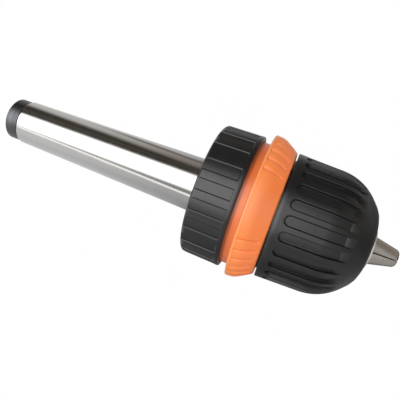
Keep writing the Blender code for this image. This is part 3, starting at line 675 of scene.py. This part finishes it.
def make_jaws(paint):
    """Three rods cut to wedges that meet at the axis, with rack teeth on their backs."""
    inset = 1.5
    end = -inset * math.tan(JAW_TILT)
    stations = np.concatenate([np.linspace(-JAW_LENGTH, -1.6, 150), np.linspace(-1.5, end, 26)])
    angles = np.linspace(0, TAU, 120, endpoint=False)
    forward = np.array([math.cos(JAW_TILT), -math.sin(JAW_TILT), 0])
    outward = np.array([math.sin(JAW_TILT), math.cos(JAW_TILT), 0])
    tip = np.array([JAW_TIP, JAW_TIP_R - JAW_R / math.cos(JAW_TILT), 0])
    # The sections turn from square to the rod to flat on the tip's end face over the last stretch
    last = 4
    tilts = JAW_TILT * (1 - smoothstep((stations - end + last) / last))
    up = np.stack([np.sin(tilts), np.cos(tilts), 0 * tilts], -1)
    rays = np.cos(angles)[:, None] * up[:, None, :] + np.sin(angles)[:, None] * np.array([0, 0, 1.0])
    centres = (tip + stations[:, None] * forward + inset * outward)[:, None, :]
    # Each ray's reach is halved until it ends on the jaw's surface
    low = np.zeros((len(stations), len(angles)))
    high = np.full_like(low, 8.0)
    for _ in range(26):
        middle = (low + high) / 2
        inside = in_jaw(centres + middle[..., None] * rays, tip, forward)
        low = np.where(inside, middle, low)
        high = np.where(inside, high, middle)
    spots = centres + low[..., None] * rays
    at, out, side = spots[..., 0], spots[..., 1], spots[..., 2]
    rows, columns = low.shape
    i = np.arange(rows * columns).reshape(rows, columns)
    j = np.roll(i, -1, 1)
    faces = np.stack([i[:-1], j[:-1], j[1:], i[1:]], -1).reshape(-1, 4).tolist()
    faces += [i[0][::-1].tolist(), i[-1].tolist()]
    for number, turn in enumerate(JAW_TURNS, 1):
        c, s = math.cos(turn), math.sin(turn)
        points = np.stack([at, out * s + side * c, out * c - side * s], -1).reshape(-1, 3) * MM
        jaw = solid(f"jaw_{number}_ground", points, faces, paint["jaw"], f"jaw_{number}", 24)
        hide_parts(f"jaw_{number}")


def in_jaw(spot, tip, forward):
    """Whether points are in a jaw: its rod, the wedge between its flats, and its turned tip."""
    at, out, side = spot[..., 0], spot[..., 1], spot[..., 2]
    offset = spot - tip
    along = offset @ forward
    square = np.sum(offset * offset, -1) - along * along
    phase = np.mod(along / RACK_PITCH, 1.0)
    tooth = RACK_DEPTH * np.clip(1.15 * np.abs(2 * phase - 1), 0, 1)
    rise = offset[..., 1] * math.cos(JAW_TILT) + offset[..., 0] * math.sin(JAW_TILT)
    on_back = smoothstep((rise - 1.0) / 0.6) * smoothstep(-RACK_START - along)
    on_back = on_back * smoothstep((along + JAW_LENGTH - 0.3) / 0.5)
    rod = square <= (JAW_R - tooth * on_back) ** 2
    flats = np.abs(side) <= out * math.tan(JAW_WEDGE) - JAW_GAP / math.cos(JAW_WEDGE)
    tip_cone = np.hypot(out, side) <= JAW_TIP_R + (JAW_TIP - JAW_TIP_CHAMFER - at)
    return rod & flats & (out >= JAW_EDGE) & tip_cone & (at <= JAW_TIP + 1e-6)


def make_nose_ring(paint):
    """The rim of the body's nose, which stands a little proud of the sleeve; its paler steel is a painted
    highlight.
    """
    rim = NOSE_R + 0.1
    line = [
        (SLEEVE_FRONT - 0.4, NOSE_R - 0.3),
        (SLEEVE_FRONT - 0.4, rim),
        (NOSE - 0.1, rim),
        (NOSE - 0.02, rim - 0.04),
        (NOSE, rim - 0.12),
        (NOSE, NOSE_R - 0.3),
    ]
    ring = spun("nose_ring_rim", line, even(96), paint["nose"], "body")


def dress_nodes(paint):
    """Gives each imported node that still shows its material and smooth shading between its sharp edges."""
    finish = {
        "turned_steel": "turned",
        "ground_steel": "jaw",
        "oiled_steel": "oiled",
        "brass": "brass",
        "black_nylon": "black",
        "orange_nylon": "orange",
    }
    slots = {s["node"]: s["material_slot"] for s in frame["record"]["subparts"]}
    for name, node in nodes.items():
        node.data.materials.clear()
        node.data.materials.append(paint[finish[slots[name]]])
        node.data.shade_smooth()
        weld = node.modifiers.new("Weld", "WELD")
        weld.merge_threshold = 1e-6
        split = node.modifiers.new("Edges", "EDGE_SPLIT")
        split.split_angle = math.radians(30)


# Studio

# The room as metal and plastic mirror it. A direction's place "around" is its angle round the object's axis:
# 0 straight below, 0.25 the side that is up in the photograph, 0.5 overhead, 0.75 the other side. Its place
# "along" is its share of the axis, from -1 at the taper's end to 1 at the jaws' end.
WALL_COLOUR = (0.95, 0.95, 0.94)
WALL_LEVEL = [
    (-1.0, 1.05),
    (-0.5, 1.0),
    (-0.27, 0.7),
    (-0.2, 0.65),
    (0.2, 0.65),
    (0.44, 0.5),
    (0.7, 0.42),
    (1.0, 0.24),
]

# Each card hangs before the walls: its name, its colour, its two edges around, their softness, how much each
# edge leans, its two ends along and their softness. A lamp hangs before the cards, as bright all along.
CARDS = [
    ("upper_shade", (0.79, 0.78, 0.75), (0.12, 0.42), 0.03, (1, 0), (-2.0, 2.0), 0.1),
    ("brown_wall", (0.55, 0.47, 0.41), (0.13, 0.4), 0.015, (1, 0), (-0.36, 2.0), 0.13),
    ("dark_gap", (0.22, 0.19, 0.17), (0.128, 0.166), 0.016, (1, 1), (-0.48, 0.4), 0.1),
    ("flag", (0.08, 0.07, 0.055), (0.244, 0.41), 0.036, (1, 0), (-2.0, 0.55), 0.15),
    ("flag_seam", (0.16, 0.145, 0.13), (0.336, 0.348), 0.006, (0, 0), (-2.0, 0.3), 0.1),
    ("ceiling", (1.2, 1.2, 1.18), (0.42, 0.59), 0.02, (0, 0), (-2.0, 2.0), 0.1),
    ("lower_gap", (0.5, 0.5, 0.47), (0.596, 0.62), 0.008, (0, 0.4), (-2.0, 0.2), 0.1),
    ("lower_wall", (0.82, 0.82, 0.83), (0.74, 0.97), 0.04, (0, 0), (-2.0, 2.0), 0.1),
    ("upper_front", (0.22, 0.2, 0.18), (0.148, 0.4), 0.02, (0, 0), (-0.19, 0.5), 0.06),
    ("lower_front", (0.28, 0.28, 0.3), (0.74, 0.95), 0.04, (0, 0), (-0.19, 0.5), 0.08),
    ("lower_dome", (0.2, 0.2, 0.21), (0.78, 0.93), 0.03, (0, 0), (0.1, 0.6), 0.06),
    ("bench_front", (0.22, 0.21, 0.2), (-1.0, 0.12), 0.03, (0, 0), (0.5, 2.0), 0.15),
    ("bench_front_2", (0.22, 0.21, 0.2), (0.94, 2.0), 0.03, (0, 0), (0.5, 2.0), 0.15),
    ("brown_front", (0.92, 0.82, 0.73), (0.14, 0.46), 0.03, (0, 0), (0.5, 2.0), 0.15),
    ("pale_front", (1.35, 1.33, 1.25), (0.54, 0.82), 0.03, (0, 0), (0.5, 2.0), 0.15),
]
LAMPS = [
    ("lamp", (3.3, 3.3, 3.28), (0.412, 0.59), 0.024, (0, -0.22), (-2.0, 0.05), 0.12),
    ("strip", (2.3, 2.28, 2.2), (0.62, 0.637), 0.009, (0.4, 0.4), (-2.0, -0.1), 0.1),
]

# How far a leaning edge moves around for its place along past LEAN_START, which counts up to LEAN_END only
LEAN = 0.22
LEAN_START = -0.5
LEAN_END = -0.25

# Matt surfaces are lit by the room as it is at this place along the axis, and by this share of it
MATT_ALONG = -0.3
MATT_SHARE = 0.62

FLOOR_RADIUS = 6.0
FLOOR_HEIGHT = -0.16
FLOOR_GLOW = 0.92

# The photograph's camera, fitted to it: size and focal length in pixels, place in millimetres, turns
PHOTO_SIZE = 400
PHOTO_FOCAL = 453.1
SENSOR = 36.0
CAMERA_PLACE = (34.13, 0, 146.6)
CAMERA_PITCH = -0.1761
CAMERA_YAW = 0.0288
CAMERA_ROLL = -0.0078 - math.radians(20)


def make_room():
    """Node group that gives the room's light for a direction."""
    group = bpy.data.node_groups.new("room_light", "ShaderNodeTree")
    group.interface.new_socket(name="Direction", in_out="INPUT", socket_type="NodeSocketVector")
    group.interface.new_socket(name="Light", in_out="OUTPUT", socket_type="NodeSocketColor")
    n = Nodes(group)
    unit = n.add("ShaderNodeVectorMath", operation="NORMALIZE")
    n.link(n.add("NodeGroupInput").outputs["Direction"], unit.inputs[0])
    split = n.add("ShaderNodeSeparateXYZ")
    n.link(unit.outputs["Vector"], split.inputs["Vector"])
    turn = n.maths("ARCTAN2", n.maths("MULTIPLY", split.outputs["Y"], -1.0), split.outputs["Z"])
    around = n.maths("ADD", n.maths("DIVIDE", turn, TAU), 0.5)
    mirrored = n.add("ShaderNodeLightPath").outputs["Is Glossy Ray"]
    ahead = n.maths("MULTIPLY", n.maths("SUBTRACT", split.outputs["X"], MATT_ALONG), mirrored)
    along = n.maths("ADD", ahead, MATT_ALONG)
    lean = n.maths("SUBTRACT", n.maths("MINIMUM", along, LEAN_END), LEAN_START)
    level = n.ramp(
        n.maths("MULTIPLY", n.maths("ADD", along, 1.0), 0.5),
        [((x + 1) / 2, (v, v, v)) for x, v in WALL_LEVEL],
    )

    def hang(card, behind):
        _, colour, edges, soft, leans, ends, end_soft = card
        low, high = (n.maths("SUBTRACT", around, n.maths("MULTIPLY", lean, LEAN * one)) for one in leans)
        window = n.maths("SUBTRACT", n.rise(low, edges[0], soft), n.rise(high, edges[1], soft))
        reach = n.maths("SUBTRACT", n.rise(along, ends[0], end_soft), n.rise(along, ends[1], end_soft))
        return n.blend(n.maths("MULTIPLY", n.maths("MAXIMUM", window, 0.0), reach), behind, colour)

    light = WALL_COLOUR
    for card in CARDS:
        light = hang(card, light)
    both = n.add("ShaderNodeVectorMath", operation="MULTIPLY")
    n.link(light, both.inputs[0])
    n.link(level, both.inputs[1])
    light = both.outputs["Vector"]
    for lamp in LAMPS:
        light = hang(lamp, light)
    share = n.add("ShaderNodeVectorMath", operation="SCALE")
    n.link(light, share.inputs[0])
    n.link(n.span(mirrored, MATT_SHARE, 1.0), share.inputs["Scale"])
    n.link(share.outputs["Vector"], n.add("NodeGroupOutput").inputs["Light"])
    return group


def room_colour(n, group, direction):
    """The room's colour, which is white to the camera and through glass, and whether a ray sees it."""
    path = n.add("ShaderNodeLightPath")
    bare = n.maths("MAXIMUM", path.outputs["Is Camera Ray"], path.outputs["Is Transmission Ray"])
    room = n.add("ShaderNodeGroup", node_tree=group)
    n.link(direction, room.inputs["Direction"])
    shown = n.maths("MAXIMUM", bare, path.outputs["Is Glossy Ray"])
    return n.blend(bare, room.outputs["Light"], (1.0, 1.0, 1.0)), shown


def make_floor(group):
    """A round floor that glows as the room does and still takes the object's shadow."""
    n = Nodes(bpy.data.materials.new("studio_floor"))
    output = n.tree.nodes["Material Output"]
    n.tree.nodes.remove(n.shader)
    colour, shown = room_colour(n, group, n.add("ShaderNodeNewGeometry").outputs["Position"])
    grain = n.noise(n.place(), 14.0, 2.0)
    diffuse = n.add("ShaderNodeBsdfDiffuse")
    n.link(n.ramp(grain, [(0.3, (0.84, 0.84, 0.84)), (0.7, (0.87, 0.87, 0.87))]), diffuse.inputs["Color"])
    glow = n.add("ShaderNodeEmission", Strength=1.0)
    n.link(colour, glow.inputs["Color"])
    mix = n.add("ShaderNodeMixShader")
    n.link(n.maths("MULTIPLY", shown, FLOOR_GLOW), mix.inputs["Fac"])
    n.link(diffuse.outputs["BSDF"], mix.inputs[1])
    n.link(glow.outputs["Emission"], mix.inputs[2])
    n.link(mix.outputs["Shader"], output.inputs["Surface"])
    form = bmesh.new()
    bmesh.ops.create_circle(form, cap_ends=True, radius=FLOOR_RADIUS, segments=64)
    mesh = bpy.data.meshes.new("studio_floor")
    form.to_mesh(mesh)
    form.free()
    mesh.materials.append(n.material)
    floor = bpy.data.objects.new("studio_floor", mesh)
    floor.location = (0, 0, FLOOR_HEIGHT)
    bpy.context.scene.collection.objects.link(floor)


def make_world(group):
    """The room's light all round, for everything that the floor doesn't hide."""
    world = bpy.data.worlds.new("studio_room")
    world.cycles.sampling_method = "NONE"
    bpy.context.scene.world = world
    n = Nodes(world)
    n.tree.nodes.clear()
    colour, _ = room_colour(n, group, n.add("ShaderNodeTexCoord").outputs["Generated"])
    background = n.add("ShaderNodeBackground")
    n.link(colour, background.inputs["Color"])
    output = n.add("ShaderNodeOutputWorld")
    n.link(background.outputs["Background"], output.inputs["Surface"])


def make_camera():
    data = bpy.data.cameras.new("photo_camera")
    data.sensor_width = SENSOR
    data.lens = PHOTO_FOCAL / PHOTO_SIZE * SENSOR
    data.clip_start = 0.005
    data.clip_end = 20
    camera = bpy.data.objects.new("photo_camera", data)
    bpy.context.scene.collection.objects.link(camera)
    turn = Matrix.Rotation(CAMERA_ROLL, 4, "Z") @ Matrix.Rotation(CAMERA_YAW, 4, "X")
    turn = turn @ Matrix.Rotation(CAMERA_PITCH, 4, "Y")
    camera.matrix_world = Matrix.Translation(Vector(CAMERA_PLACE) * MM) @ turn.transposed()
    bpy.context.scene.camera = camera


make_camera()
paint = make_materials()
make_arbor(paint)
make_rear_ring(paint)
make_lock_ring(paint)
make_sleeve(paint)
make_jaws(paint)
make_nose_ring(paint)
dress_nodes(paint)
room = make_room()
make_floor(room)
make_world(room)

bpy.context.scene.view_settings.view_transform = "Standard"
